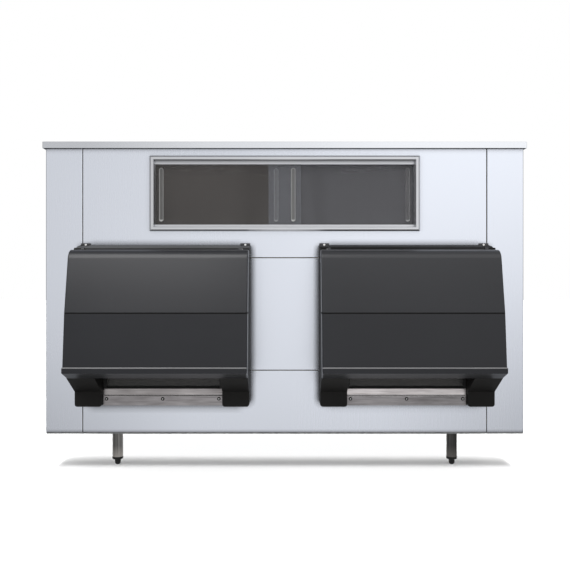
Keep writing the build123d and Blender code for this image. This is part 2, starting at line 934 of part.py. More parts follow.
def door_bumpers(center):
    """Rubber pads on the cheeks that the closed door rests on."""
    gap = door_gap * math.cos(lean)
    with BuildPart() as pads:
        for side in (-1, 1):
            x = center + side * (throat_half + frame_half) / 2
            for z in bumper_heights:
                with BuildSketch(back_face_plane(x, z, -gap)):
                    Circle(bumper_radius)
                extrude(amount=gap - seat_clearance)
    return pads


def hinge_pins():
    """The steel pins that the doors turn on, two for each."""
    inner_x = knuckle_outer - knuckle_width
    length = frame_half - seat_clearance - inner_x
    with BuildPart() as pins:
        for center in door_centers.values():
            for side in (-1, 1):
                with BuildSketch(side_plane(center + side * (inner_x + length / 2))):
                    with Locations((hinge_reach, hinge_z)):
                        Circle(pin_radius)
                extrude(amount=length / 2, both=True)
    return pins


sill_screw_places = []
for side_name, center in door_centers.items():
    save(door_frame(center).part, side_name + "_door_frame")
    save(sill(center).part, side_name + "_sill")
    save(shield_tracks(center).part, side_name + "_shield_tracks")
    save(door_bumpers(center).part, side_name + "_door_bumpers")
    for dx in (-sill_screw_offset, 0, sill_screw_offset):
        sill_screw_places.append((center + dx, sill_screw_z))

sill_screws = pan_head_screws(
    sill_screw_places, sill_reach, sill_screw_head, sill_screw_radius, sheet + 2 * frame_wall
)
save(sill_screws.part, "sill_screws")
clip_screws = pan_head_screws(
    [(x, clip_screw_z) for x in clip_places],
    clip_sheet,
    clip_screw_head,
    clip_screw_radius,
    clip_sheet + 2 * frame_wall,
)
save(clip_screws.part, "clip_screws")
save(frame_clips().part, "frame_clips")
save(hinge_pins().part, "hinge_pins")

# Doors: a moulded outer shell, an inner panel that closes its back, and the foam between

door_outline = [
    (door_rear_reach, door_top_z + door_wall / 2),
    (door_top_reach, door_top_z),
    (door_mid_reach, door_mid_z),
    (door_low_reach, lip_top_z),
    (door_reach, lip_top_z),
    (door_reach, lip_bottom_z),
    (door_back_reach, door_back_z),
    (back_line_reach(door_step_z), door_step_z),
    (door_rear_reach, door_step_z),
]
back_length = (door_step_z - door_back_z) / math.cos(lean)
back_mid_z = (door_step_z + door_back_z) / 2
panel_margin = 2 * door_wall


def door_section(center, wall):
    """The closed door's side section with its bends, moved inwards by a wall."""
    with BuildSketch(side_plane(center)) as section:
        Polygon(*door_outline)
        corners = section.vertices()
        bend = corners.sort_by_distance((door_top_reach, door_top_z, 0))[0]
        lip_top = corners.sort_by_distance((door_reach, lip_top_z, 0))[0]
        lip_low = corners.sort_by_distance((door_reach, lip_bottom_z, 0))[0]
        fillet(bend, door_top_bend)
        fillet(lip_top, lip_top_radius)
        fillet(lip_low, lip_bottom_radius)
        if wall > 0:
            offset(amount=-wall, kind=Kind.INTERSECTION)
    return section.sketch


def door_void(center):
    """The space inside the door shell, reaching out through its open back."""
    with BuildPart() as void:
        extrude(door_section(center, door_wall), amount=frame_half - door_wall, both=True)
        with BuildSketch(back_face_plane(center, back_mid_z, 2 * door_wall)):
            RectangleRounded(
                2 * (frame_half - door_wall), back_length - 2 * panel_margin, door_wall
            )
        extrude(amount=-3 * door_wall)
    return void.part


def knuckle_blocks(center):
    """Solid blocks in the door's top corners that carry the hinge knuckles."""
    width = frame_half - knuckle_outer + knuckle_width
    with BuildPart() as blocks:
        for side in (-1, 1):
            with BuildSketch(side_plane(center + side * (frame_half - width / 2))):
                Polygon(
                    (door_rear_reach, hinge_z - knuckle_block),
                    (hinge_reach + knuckle_block, hinge_z - knuckle_block),
                    (hinge_reach + knuckle_block, door_top_z),
                    (door_rear_reach, door_top_z),
                )
            extrude(amount=width / 2, both=True)
    return blocks.part


def door_shell(center):
    """The outer skin of one door, with its lip, groove, hinge knuckles and end notches."""
    with BuildPart() as shell:
        extrude(door_section(center, 0), amount=frame_half, both=True)
        side_faces = shell.faces().filter_by(Axis.X)
        outer_edges = ShapeList()
        for face in side_faces:
            edges = face.edges()
            outer_edges += edges.filter_by_position(Axis.Y, -overall_depth, face_y - edge_start_reach)
        fillet(outer_edges, door_edge_radius)
        with BuildSketch(side_plane(center)):
            Polygon(
                (door_mid_reach + 1, door_mid_z - groove_width / 2),
                (door_mid_reach + 1, door_mid_z + groove_width / 2),
                (door_mid_reach - groove_depth, door_mid_z),
            )
        extrude(amount=frame_half, both=True, mode=Mode.SUBTRACT)
        add(door_void(center), mode=Mode.SUBTRACT)
        add(knuckle_blocks(center))
        notch_inner = frame_half - lug_width - hinge_side_gap / 2
        for side in (-1, 1):
            with BuildSketch(side_plane(center + side * (knuckle_outer - knuckle_width / 2))):
                with Locations((hinge_reach, hinge_z)):
                    Circle(knuckle_radius)
            extrude(amount=knuckle_width / 2, both=True)
            notch_half = (frame_half - notch_inner) / 2 + 1
            with BuildSketch(side_plane(center + side * (notch_inner + notch_half))):
                with Locations((hinge_reach, hinge_z)):
                    Circle(lug_radius + notch_clearance)
                Polygon(
                    [
                        (door_rear_reach - 1, hinge_z - lug_radius - notch_clearance),
                        (hinge_reach, hinge_z - lug_radius - notch_clearance),
                        (hinge_reach, hinge_z + lug_radius + notch_clearance),
                        (door_rear_reach - 1, hinge_z + lug_radius + notch_clearance),
                    ]
                )
            extrude(amount=notch_half, both=True, mode=Mode.SUBTRACT)
            with BuildSketch(side_plane(center + side * (knuckle_outer - knuckle_width / 2))):
                with Locations((hinge_reach, hinge_z)):
                    Circle(pin_radius + running_fit)
            extrude(amount=knuckle_width / 2 + 1, both=True, mode=Mode.SUBTRACT)
    return shell


def door_liner(center):
    """The inner panel of one door, with a raised plug that fills the scoop opening."""
    plug_mid_z = (plug_bottom_z + plug_top_z) / 2
    plug_length = (plug_top_z - plug_bottom_z) / math.cos(lean)
    with BuildPart() as panel:
        with BuildSketch(back_face_plane(center, back_mid_z)):
            RectangleRounded(
                2 * (frame_half - door_wall - seat_clearance),
                back_length - 2 * panel_margin - 2 * seat_clearance,
                door_wall,
            )
        extrude(amount=door_wall)
        with BuildSketch(back_face_plane(center, plug_mid_z)):
            RectangleRounded(plug_width, plug_length, plug_radius)
        extrude(amount=-plug_rise, taper=8)
        with BuildSketch(back_face_plane(center, plug_mid_z, door_wall)):
            RectangleRounded(
                plug_width - 3 * door_wall, plug_length - 3 * door_wall, plug_radius - door_wall
            )
        extrude(amount=-plug_rise, taper=8, mode=Mode.SUBTRACT)
    return panel


for side_name, center in door_centers.items():
    shell = door_shell(center)
    inner = door_liner(center)
    save(shell.part, side_name + "_door_shell")
    save(inner.part, side_name + "_door_liner")
    with BuildPart() as core:
        extrude(door_section(center, door_wall), amount=frame_half - door_wall, both=True)
        add(shell.part, mode=Mode.SUBTRACT)
        add(knuckle_blocks(center), mode=Mode.SUBTRACT)
    save(core.part, side_name + "_door_foam")


# Ice shields

def ice_shield(center):
    """The clear panel of one ice shield."""
    half = throat_half - track_wall - track_end_gap
    bottom = sill_top_z + seat_clearance + seal_wall
    with BuildPart() as panel:
        with BuildSketch(front_plane(shield_reach)):
            front_rectangle(center, bottom, bottom + shield_height, half)
        extrude(amount=shield_thickness)
    return panel


def shield_seal(center):
    """The rubber edging under one ice shield, which rests on the sill."""
    low = sill_top_z + seat_clearance
    inner = shield_reach - seal_wall
    outer = shield_reach + shield_thickness + seal_wall
    with BuildPart() as seal:
        with BuildSketch(side_plane(center)):
            Polygon(
                [
                    (inner, low),
                    (outer, low),
                    (outer, low + seal_height),
                    (outer - seal_wall, low + seal_height),
                    (outer - seal_wall, low + seal_wall),
                    (inner + seal_wall, low + seal_wall),
                    (inner + seal_wall, low + seal_height),
                    (inner, low + seal_height),
                ]
            )
        extrude(amount=throat_half - track_width - 1, both=True)
    return seal


def shield_grip(center):
    """The moulded finger grip clipped over one ice shield's top edge."""
    top = sill_top_z + seat_clearance + seal_wall + shield_height
    inner = shield_reach
    outer = shield_reach + shield_thickness
    with BuildPart() as grip:
        with BuildSketch(side_plane(center)):
            Polygon(
                [
                    (inner - grip_wall, top - grip_height),
                    (inner, top - grip_height),
                    (inner, top),
                    (outer, top),
                    (outer, top - grip_height),
                    (outer + grip_wall, top - grip_height),
                    (outer + grip_wall, top - grip_wall),
                    (outer + grip_reach - grip_wall, top - grip_wall),
                    (outer + grip_reach - grip_wall, top - grip_height / 2),
                    (outer + grip_reach, top - grip_height / 2),
                    (outer + grip_reach, top + grip_wall),
                    (inner - grip_wall, top + grip_wall),
                ]
            )
        extrude(amount=grip_length / 2, both=True)
    return grip


for side_name, center in door_centers.items():
    save(ice_shield(center).part, side_name + "_ice_shield")
    save(shield_seal(center).part, side_name + "_shield_seal")
    save(shield_grip(center).part, side_name + "_shield_grip")

# Window frame: four mitred extrusions with a bevelled bezel and two pane channels

window_mid_z = (window_bottom_z + window_top_z) / 2
window_half_height = (window_top_z - window_bottom_z) / 2
slot_starts = (track_front + lip_thickness, track_front + 2 * lip_thickness + pane_slot)
track_back = track_front + 3 * lip_thickness + 2 * pane_slot


def window_member(outward, half_opening, half_length, lip, slotted):
    """One side of the window frame, drawn as (distance out from the opening, reach)."""
    outward = Vector(*outward)
    along = outward.cross(Vector(0, -1, 0))
    middle = Vector(0, face_y, window_mid_z) + outward * half_opening
    section = Plane(origin=middle, x_dir=outward, z_dir=along)
    with BuildPart() as member:
        with BuildSketch(section):
            Polygon(
                [
                    (0, -window_depth),
                    (window_body, -window_depth),
                    (window_body, 0),
                    (bezel_width, 0),
                    (bezel_width, bezel_reach - bezel_bevel * 0.8),
                    (bezel_width - bezel_bevel, bezel_reach),
                    (window_wall, bezel_reach),
                    (0, bezel_reach - window_wall),
                ]
            )
            if slotted:
                for start in slot_starts:
                    with Locations((slot_end_depth / 2, -start - pane_slot / 2)):
                        Rectangle(slot_end_depth, pane_slot, mode=Mode.SUBTRACT)
                with Locations((window_body / 2, -track_front / 2)):
                    Rectangle(
                        window_body - 2 * window_wall,
                        track_front - 2 * window_wall,
                        mode=Mode.SUBTRACT,
                    )
            else:
                with Locations((window_body / 2, -window_depth / 2)):
                    Rectangle(
                        window_body - 2 * window_wall,
                        window_depth - 2 * window_wall,
                        mode=Mode.SUBTRACT,
                    )
        extrude(amount=half_length + 2 * bezel_width, both=True)
        for end in (-1, 1):
            corner = middle + along * (end * half_length)
            cut = Plane(origin=corner, z_dir=along * end - outward)
            split(bisect_by=cut, keep=Keep.BOTTOM)
        if lip > 0:
            with BuildSketch(section):
                for step in range(3):
                    reach = track_front + step * (lip_thickness + pane_slot) + lip_thickness / 2
                    with Locations((window_wall / 2 - lip / 2, -reach)):
                        Rectangle(lip + window_wall, lip_thickness)
            extrude(amount=half_length - seat_clearance, both=True)
    return member.part


save(
    window_member((0, 0, 1), window_half_height, window_half_width, top_lip, False),
    "window_top_rail",
)
save(
    window_member((0, 0, -1), window_half_height, window_half_width, bottom_lip, False),
    "window_bottom_rail",
)
save(
    window_member((-1, 0, 0), window_half_width, window_half_height, 0, True),
    "window_left_stile",
)
save(
    window_member((1, 0, 0), window_half_width, window_half_height, 0, True),
    "window_right_stile",
)


def window_pane(x_low, x_high, front):
    """A clear sliding pane with a finger pull ground into each end."""
    bottom = window_bottom_z + pane_bottom_play
    top = window_top_z - pane_lift_play
    pull_radius = (pull_width / 2) ** 2 / (2 * pull_depth) + pull_depth / 2
    axis_reach = -front + pull_radius - pull_depth
    middle_z = (pane_low_z + pane_high_z) / 2
    with BuildPart() as pane:
        with BuildSketch(front_plane(-front)):
            front_rectangle((x_low + x_high) / 2, bottom, top, (x_high - x_low) / 2)
        extrude(amount=-pane_thickness)
        straight = pull_height - pull_width
        for x in (x_low + pull_inset, x_high - pull_inset):
            with Locations((x, face_y - axis_reach, middle_z)):
                Cylinder(pull_radius, straight, mode=Mode.SUBTRACT)
            for end in (-1, 1):
                with Locations((x, face_y - axis_reach, middle_z + end * straight / 2)):
                    Sphere(pull_radius, mode=Mode.SUBTRACT)
    return pane.part


pane_end_x = window_half_width + pane_end_depth
pane_play = (pane_slot - pane_thickness) / 2
save(
    window_pane(-pane_end_x, pane_overlap_half, slot_starts[0] + pane_play),
    "left_window_pane",
)
save(
    window_pane(-pane_overlap_half, pane_end_x, slot_starts[1] + pane_play),
    "right_window_pane",
)
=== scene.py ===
# %% [markdown]
# Ice storage bin, as a studio photograph
#
# The real object is a stainless cabinet on four legs with two dark scoop doors and a
# sliding window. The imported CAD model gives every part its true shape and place, so this
# lesson is mostly about what a photograph shows on top of that: how brushed steel, moulded
# plastic and clear sheet take the light, and the small marks that a drawing leaves out.

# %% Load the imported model
import bpy
import bmesh
import json
import math
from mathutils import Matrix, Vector

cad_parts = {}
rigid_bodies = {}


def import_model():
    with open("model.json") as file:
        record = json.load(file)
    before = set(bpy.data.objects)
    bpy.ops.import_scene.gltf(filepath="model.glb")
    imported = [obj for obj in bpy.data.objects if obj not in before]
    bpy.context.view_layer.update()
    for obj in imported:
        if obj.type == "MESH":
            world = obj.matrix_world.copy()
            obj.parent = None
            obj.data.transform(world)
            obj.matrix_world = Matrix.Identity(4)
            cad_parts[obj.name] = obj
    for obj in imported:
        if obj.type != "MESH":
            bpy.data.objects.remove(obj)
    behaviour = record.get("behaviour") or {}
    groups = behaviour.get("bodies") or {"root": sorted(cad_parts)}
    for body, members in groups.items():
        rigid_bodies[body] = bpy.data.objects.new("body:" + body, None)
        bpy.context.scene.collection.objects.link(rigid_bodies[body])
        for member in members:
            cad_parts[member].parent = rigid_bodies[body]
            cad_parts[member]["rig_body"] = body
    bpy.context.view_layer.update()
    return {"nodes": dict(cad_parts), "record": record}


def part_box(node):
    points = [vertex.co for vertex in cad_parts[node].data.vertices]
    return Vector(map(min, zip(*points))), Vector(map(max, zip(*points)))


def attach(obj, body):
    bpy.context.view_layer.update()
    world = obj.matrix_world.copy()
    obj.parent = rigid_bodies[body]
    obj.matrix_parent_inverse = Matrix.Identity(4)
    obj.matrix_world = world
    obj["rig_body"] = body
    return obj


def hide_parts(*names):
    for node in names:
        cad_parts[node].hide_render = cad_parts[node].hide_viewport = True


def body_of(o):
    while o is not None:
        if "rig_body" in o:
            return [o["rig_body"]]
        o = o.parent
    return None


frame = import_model()
nodes = frame["nodes"]
scene = bpy.context.scene
scene.view_settings.view_transform = "Standard"

# %% [markdown]
# The camera stands where the photographer stood: level, a little above the middle of the
# cabinet and about 2.7 m from its face. The focal length in pixels was found from how fast
# the doors' sides draw together towards their lips. A sensor width of 36 mm turns it into
# the lens that Blender wants.

# %% Camera
photo_width_px = 570
focal_px = 697.3
camera_distance = 2.670
camera_height = 0.7222
sensor_mm = 36.0
middle_px = 284.7

face_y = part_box("front_center_panel")[0][1]
camera_data = bpy.data.cameras.new("studio_camera")
camera_data.sensor_width = sensor_mm
camera_data.lens = sensor_mm * focal_px / photo_width_px
camera = bpy.data.objects.new("studio_camera", camera_data)
sideways = (photo_width_px / 2 - middle_px) * camera_distance / focal_px
camera.location = (sideways, face_y - camera_distance, camera_height)
camera.rotation_euler = (math.radians(90), 0, 0)
scene.collection.objects.link(camera)
scene.camera = camera
print("lens mm:", round(camera_data.lens, 2), "face at y:", round(face_y, 4))

# %% [markdown]
# A small helper keeps the node trees readable. `Wire` wraps one socket, so that a pattern
# can be written as arithmetic: `0.3 + grain * 0.1` adds two Math nodes. Its `ramp` makes a
# mask with a soft edge: `(x - edge).ramp(500.0)` is 0 up to the edge and 1 from 2 mm past
# it. `Finish` is one material. Its `node` method makes any other node, and `surface` ends
# the tree in a Principled shader. Numbers that are the same all over a surface go straight
# onto the shader's sockets.

# %% Shader helpers
class Wire:
    """A shader socket that takes part in Python arithmetic."""

    def __init__(self, tree, socket):
        self.tree = tree
        self.socket = socket

    def math(self, operation, first, second):
        node = self.tree.nodes.new("ShaderNodeMath")
        node.operation = operation
        for socket, value in zip(node.inputs, (first, second)):
            if isinstance(value, Wire):
                self.tree.links.new(value.socket, socket)
            else:
                socket.default_value = value
        return Wire(self.tree, node.outputs[0])

    def __add__(self, other):
        return self.math("ADD", self, other)

    def __radd__(self, other):
        return self.math("ADD", other, self)

    def __sub__(self, other):
        return self.math("SUBTRACT", self, other)

    def __rsub__(self, other):
        return self.math("SUBTRACT", other, self)

    def __mul__(self, other):
        return self.math("MULTIPLY", self, other)

    def __rmul__(self, other):
        return self.math("MULTIPLY", other, self)

    def __truediv__(self, other):
        return self.math("DIVIDE", self, other)

    def at_least(self, floor):
        return self.math("MAXIMUM", self, floor)

    def at_most(self, ceiling):
        return self.math("MINIMUM", self, ceiling)

    def between(self, floor, ceiling):
        return self.at_least(floor).at_most(ceiling)

    def ramp(self, steepness):
        """The value times a steepness, cut off below 0 and above 1."""
        return (self * steepness).between(0.0, 1.0)

    def size(self):
        """The value without its sign."""
        return self.math("ABSOLUTE", self, 0.0)

    def root(self):
        return self.math("SQRT", self, 0.0)


class Finish:
    """One node-based material."""

    def __init__(self, name, tree=None):
        if tree is None:
            self.material = bpy.data.materials.new(name)
            self.material.use_nodes = True
            tree = self.material.node_tree
        self.tree = tree
        self.tree.nodes.clear()

    def node(self, kind, settings=None, sockets=None, output=0):
        """Make a node, set it up, feed its sockets and return one of its outputs."""
        made = self.tree.nodes.new(kind)
        for key, value in (settings or {}).items():
            setattr(made, key, value)
        for key, value in (sockets or {}).items():
            if isinstance(value, Wire):
                self.tree.links.new(value.socket, made.inputs[key])
            else:
                made.inputs[key].default_value = value
        if made.outputs:
            return Wire(self.tree, made.outputs[output])
        return None

    def place(self, scale=(1, 1, 1)):
        """Object coordinates, scaled."""
        spot = self.node("ShaderNodeTexCoord", output="Object")
        return self.node("ShaderNodeMapping", sockets={"Vector": spot, "Scale": scale})

    def axes(self, vector=None):
        """The three numbers of a vector, or of the Object coordinates."""
        split = self.tree.nodes.new("ShaderNodeSeparateXYZ")
        self.tree.links.new((vector or self.place()).socket, split.inputs[0])
        return [Wire(self.tree, output) for output in split.outputs]

    def noise(self, spot, scale, detail=2.0, roughness=0.5):
        return self.node(
            "ShaderNodeTexNoise",
            sockets={"Vector": spot, "Scale": scale, "Detail": detail, "Roughness": roughness},
        )

    def blend_colors(self, amount, first, second):
        """Mix two colours by an amount from 0 to 1."""
        made = self.tree.nodes.new("ShaderNodeMix")
        made.data_type = "RGBA"
        self.tree.links.new(amount.socket, made.inputs[0])
        for index, value in ((6, first), (7, second)):
            if isinstance(value, Wire):
                self.tree.links.new(value.socket, made.inputs[index])
            else:
                made.inputs[index].default_value = (*value, 1.0)
        return Wire(self.tree, made.outputs[2])

    def bump(self, height, strength, distance):
        return self.node(
            "ShaderNodeBump",
            sockets={"Height": height, "Strength": strength, "Distance": distance},
        )

    def surface(self, **sockets):
        """End the tree in a Principled shader with these values or wires."""
        named = {key.replace("_", " "): value for key, value in sockets.items()}
        shader = self.node("ShaderNodeBsdfPrincipled", sockets=named)
        self.node("ShaderNodeOutputMaterial", sockets={"Surface": shader})
        return self.material


print("helpers ready")

# %% [markdown]
# Brushed steel is a mirror with thousands of fine parallel scratches. Up close the grain
# shows as streaks, and from a distance it only smears what the metal reflects. The streaks
# come from noise that is stretched along the brushing direction: a large scale across the
# grain and a small one along it. They vary the roughness a little and feed a faint bump. A
# second, very large noise adds the clouding left by wiping, in the colour too. A painted
# shadow darkens the panel under each sill, and an Ambient Occlusion node paints soft dark
# shade into the colour round the door frames. Painted shade also darkens the front corners,
# the foot of the panels, the left of the cover's front lip and the cover's flat top.

# %% Brushed steel
# Tones of painted shade and painted shadow for the marks below.
painted_corner_shade_tone = (0.15, 0.16, 0.18)
painted_foot_shade_tone = (0.09, 0.09, 0.10)
painted_sill_shadow_tone = (0.10, 0.10, 0.105)
frame_shade_tone = (0.03, 0.03, 0.033)
painted_lip_shade_tone = (0.10, 0.11, 0.13)
painted_top_shade_tone = (0.06, 0.06, 0.07)
frame_shade_reach = 0.026
wiped_shade = 0.96


def scaled(color, factor):
    """A lighter or darker copy of a colour."""
    return tuple(value * factor for value in color)


def under_the_sills(finish, tone, axes):
    """Paint a shadow on the front just below each sill; the fade ends about 4 cm further down."""
    x, y, z = axes
    for low_x, high_x, high_z, amount in sill_shadow_marks:
        wide = (x - low_x).ramp(30.0) * (high_x - x).ramp(30.0)
        # Painted shadow, fading downwards from the sill.
        sill_shadow = ((z - high_z) * 32.0 + 1.35).between(0.0, 1.0)
        below = ((high_z - z) * 900.0 + 3).between(0.0, 1.0)
        in_front = (face_y + 0.01 - y).ramp(900.0)
        tone = finish.blend_colors(wide * sill_shadow * below * in_front * amount, tone, painted_sill_shadow_tone)
    return tone


def round_the_frames(finish, tone):
    """Paint shade into the colour of what is close to another piece, on faces that look to the
    front.
    """
    open_sky = finish.node(
        "ShaderNodeAmbientOcclusion", {"samples": 8}, {"Distance": frame_shade_reach}, output="AO"
    )
    normal = finish.node("ShaderNodeNewGeometry", output="True Normal")
    facing = (-0.97 - finish.axes(normal)[1]).ramp(50.0)
    # The occlusion darkens the colour: painted shade.
    return finish.blend_colors((1 - open_sky).ramp(1.9) * facing * 0.88, tone, frame_shade_tone)


def brushed_steel(name, color, grain, roughness, fold=None, hem=None, lip=None, top=None):
    """Stainless sheet; grain gives the noise scale along X, Y and Z. Painted shade darkens the
    sheet at fold, the place of the front corners, below the height hem, on the left of what
    is in front of lip, and above the height top, where the cover lies flat. A sheet with a hem
    also gets the painted shadow under the sills and painted shade round the frames, on its front
    alone."""
    finish = Finish(name)
    streaks = finish.noise(finish.place(grain), 1.0, detail=3.0, roughness=0.6)
    clouds = finish.noise(finish.place(), 2.3, detail=3.0)
    tone = finish.blend_colors(clouds, scaled(color, wiped_shade), color)
    axes = finish.axes()
    x, y, z = axes
    if fold:
        corner_x, corner_y = fold
        # Painted shade at the front corners of the side panels.
        corner_shade = (x.size() - corner_x).ramp(1500.0) * (corner_y - y).ramp(1500.0)
        tone = finish.blend_colors(corner_shade * 0.75, tone, painted_corner_shade_tone)
    if hem:
        # Painted shade over the foot of the panels.
        foot_shade = (hem - z).ramp(55.0)
        tone = finish.blend_colors(foot_shade * foot_shade * 0.9, tone, painted_foot_shade_tone)
        tone = under_the_sills(finish, tone, axes)
        tone = round_the_frames(finish, tone)
    if lip:
        # Painted shade on the left of the cover's front lip.
        shaded = (-0.30 - x).ramp(2.2) * (lip - y).ramp(500.0)
        tone = finish.blend_colors(shaded * 0.22, tone, painted_lip_shade_tone)
    if top:
        # Painted shade on the cover's flat top.
        tone = finish.blend_colors((z - top).ramp(2000.0) * 0.22, tone, painted_top_shade_tone)
    return finish.surface(
        Base_Color=tone,
        Metallic=1.0,
        Roughness=roughness + (streaks - 0.5) * 0.02 + (clouds - 0.5) * 0.03,
        Normal=finish.bump(streaks, 0.0015, 0.0001),
    )


upright_grain = (1400.0, 1400.0, 1.5)
level_grain = (1.5, 1400.0, 1400.0)
even_grain = (300.0, 300.0, 300.0)
sides = ("left", "right")
mark_inset = 0.02
# The painted shadow under each sill, stronger under the left one.
sill_shadow_marks = []
for side, amount in zip(sides, (0.50, 0.20)):
    frame_low, frame_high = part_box(side + "_door_frame")
    sill_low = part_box(side + "_sill")[0]
    low_x, high_x = frame_low[0] + mark_inset, frame_high[0] - mark_inset
    sill_shadow_marks.append((low_x, high_x, sill_low[2], amount))

body_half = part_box("right_side_panel")[1][0]
corner_inset = 0.0027
corner_reach = 0.0045
# Height below which the panels get painted shade.
hem_height = 0.1740
flat_below_top = 0.0008
finishes = {}
finishes["panel_steel"] = brushed_steel(
    "panel_steel",
    (0.795, 0.83, 0.91),
    upright_grain,
    0.27,
    fold=(body_half - corner_inset, face_y + corner_reach),
    hem=hem_height,
)
finishes["cover_steel"] = brushed_steel(
    "cover_steel",
    (0.82, 0.84, 0.88),
    level_grain,
    0.27,
    lip=face_y,
    top=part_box("top_cover")[1][2] - flat_below_top,
)
finishes["fastener_steel"] = brushed_steel("fastener_steel", (0.80, 0.80, 0.80), even_grain, 0.25)
print("smooth steel finishes:", sorted(finishes))

# %% [markdown]
# Each sill is held by three pan head screws. The rim of each head is painted near black,
# as painted shade, and its centre keeps a light steel tone. Two materials would need each
# head cut in two, so one material works out the distance to the nearest screw's centre and
# changes its tone there.

# %% Sill screws
bright_centre_radius = 0.0024


def screw_steel(name, centers, height):
    """Pan heads: a rim painted near black as painted shade, and a light steel centre."""
    finish = Finish(name)
    x, _, z = finish.axes()
    up = z - height
    nearest = 1.0
    for center in centers:
        out = x - center
        apart = (out * out + up * up).root()
        nearest = apart.at_most(nearest)
    speck = finish.noise(finish.place(), 900.0)
    bright_centre = (bright_centre_radius - nearest).ramp(1500.0)
    return finish.surface(
        # The near-black rim is painted shade.
        Base_Color=finish.blend_colors(bright_centre, (0.03, 0.03, 0.03), (0.70, 0.70, 0.69)),
        Metallic=1.0,
        Roughness=0.30 + (speck - 0.5) * 0.1,
        Normal=finish.bump(speck, 0.04, 0.0002),
    )


screw_low, screw_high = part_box("sill_screws")
screw_height = (screw_low[2] + screw_high[2]) / 2
screw_reach = 0.210
screw_centers = []
for side in sides:
    low_corner, high_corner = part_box(side + "_sill")
    middle_x = (low_corner[0] + high_corner[0]) / 2
    screw_centers += [middle_x - screw_reach, middle_x, middle_x + screw_reach]
sill_screw_finish = screw_steel("sill_screw_steel", screw_centers, screw_height)
print("sill screws at x:", [round(x, 4) for x in screw_centers])

# %% [markdown]
# The sills take the knocks of the ice scoop. Their sheet is warmer and patchy, with long
# scuffs from side to side, so two noises at different scales mix a dull tone and a
# smoother, brighter one. Their lower strip is painted darker, as painted shade under the
# doors, and the small step between the two strips is painted as a pale matt line, a painted
# highlight. The leg tubes are painted dark, as painted shade under the cabinet, with streaks
# down their length. Just above the plug they are painted paler, as a painted reflection of
# the floor. The height from the floor gives that fade.

# %% Scuffed sill and leg tube
sill_fold = 0.3105
step_drop = 0.0015
step_half = 0.0027
# Height of the painted reflection of the floor on the legs.
floor_reflection_top = 0.078


def scuffed_sill(name, upper=1.0, under=1.0):
    """Bent sheet; upper and under brighten or darken its two strips, as painted light and shade.
    """
    finish = Finish(name)
    scuffs = finish.noise(finish.place((9.0, 160.0, 160.0)), 1.0, detail=4.0, roughness=0.65)
    patches = finish.noise(finish.place((7.0, 25.0, 25.0)), 1.0, detail=2.0)
    grain = finish.noise(finish.place(level_grain), 1.0)
    worn = ((scuffs - 0.5) * 1.8 + (patches - 0.5) * 1.6 + 0.5).between(0.0, 1.0)
    sheet_tone = finish.blend_colors(
        worn, scaled((0.36, 0.335, 0.335), upper), scaled((0.62, 0.59, 0.59), upper)
    )
    height = finish.axes()[2]
    lower = (sill_fold - height).ramp(500.0)
    # The step is painted as a pale matt line: a painted highlight.
    step = (step_half - (height - sill_fold + step_drop).size()).ramp(2000.0)
    # The lower strip is painted darker: painted shade under the doors.
    shaded_strip_tone = finish.blend_colors(
        worn, scaled((0.20, 0.187, 0.19), under), scaled((0.44, 0.42, 0.43), under)
    )
    strips = finish.blend_colors(lower, sheet_tone, shaded_strip_tone)
    return finish.surface(
        Base_Color=finish.blend_colors(step, strips, scaled((0.62, 0.60, 0.60), upper)),
        Metallic=1 - step * 0.85,
        Roughness=0.40 - worn * 0.12 + (grain - 0.5) * 0.06,
        Normal=finish.bump(scuffs + grain * 0.3, 0.05, 0.0003),
    )


def leg_tube(name, shade=1.0):
    """Round tube painted dark as painted shade, with streaks, and paler near the floor as a
    painted reflection of the floor; shade darkens the whole tube.
    """
    finish = Finish(name)
    height = finish.axes()[2]
    streaks = finish.noise(finish.place((260.0, 260.0, 3.0)), 1.0, detail=3.0, roughness=0.7)
    # Painted reflection of the floor, paler towards the foot.
    painted_light_band = (floor_reflection_top - height).ramp(24.0)
    tone = ((streaks - 0.5) * 2.6 + 0.42).between(0.0, 1.0)
    # The dark tube tone is painted shade under the cabinet.
    tube = finish.blend_colors(
        tone, scaled((0.09, 0.088, 0.085), shade), scaled((0.32, 0.315, 0.305), shade)
    )
    return finish.surface(
        Base_Color=finish.blend_colors(painted_light_band * 0.85, tube, scaled((0.44, 0.415, 0.39), shade)),
        Metallic=1.0,
        Roughness=0.30 + (streaks - 0.5) * 0.2,
        Normal=finish.bump(streaks, 0.05, 0.0003),
    )


# The left sill's upper strip is painted darker, and the right sill's lighter above and darker
# below, as painted light and shade.
finishes["sill_steel"] = scuffed_sill("sill_steel", upper=0.76)
finishes["leg_steel"] = leg_tube("leg_steel")
right_sill_painted_light = scuffed_sill("right_sill_steel_painted_light", upper=1.18, under=0.79)
right_leg_finish = leg_tube("right_leg_steel", shade=0.34)
print("worn steel finishes:", ["sill_steel", "leg_steel"])

# %% [markdown]
# The window frame is anodised aluminium: greyer and duller than the steel, with the fine
# lines of its die, which run from side to side here. Its underside behind the bezel is
# painted dark, as painted shade. The base pan is galvanised sheet, whose zinc crystals show
# as flat patches of slightly different grey. Voronoi cells give those patches directly. The
# greys are dark, partly as painted shade for the strip below the panels.

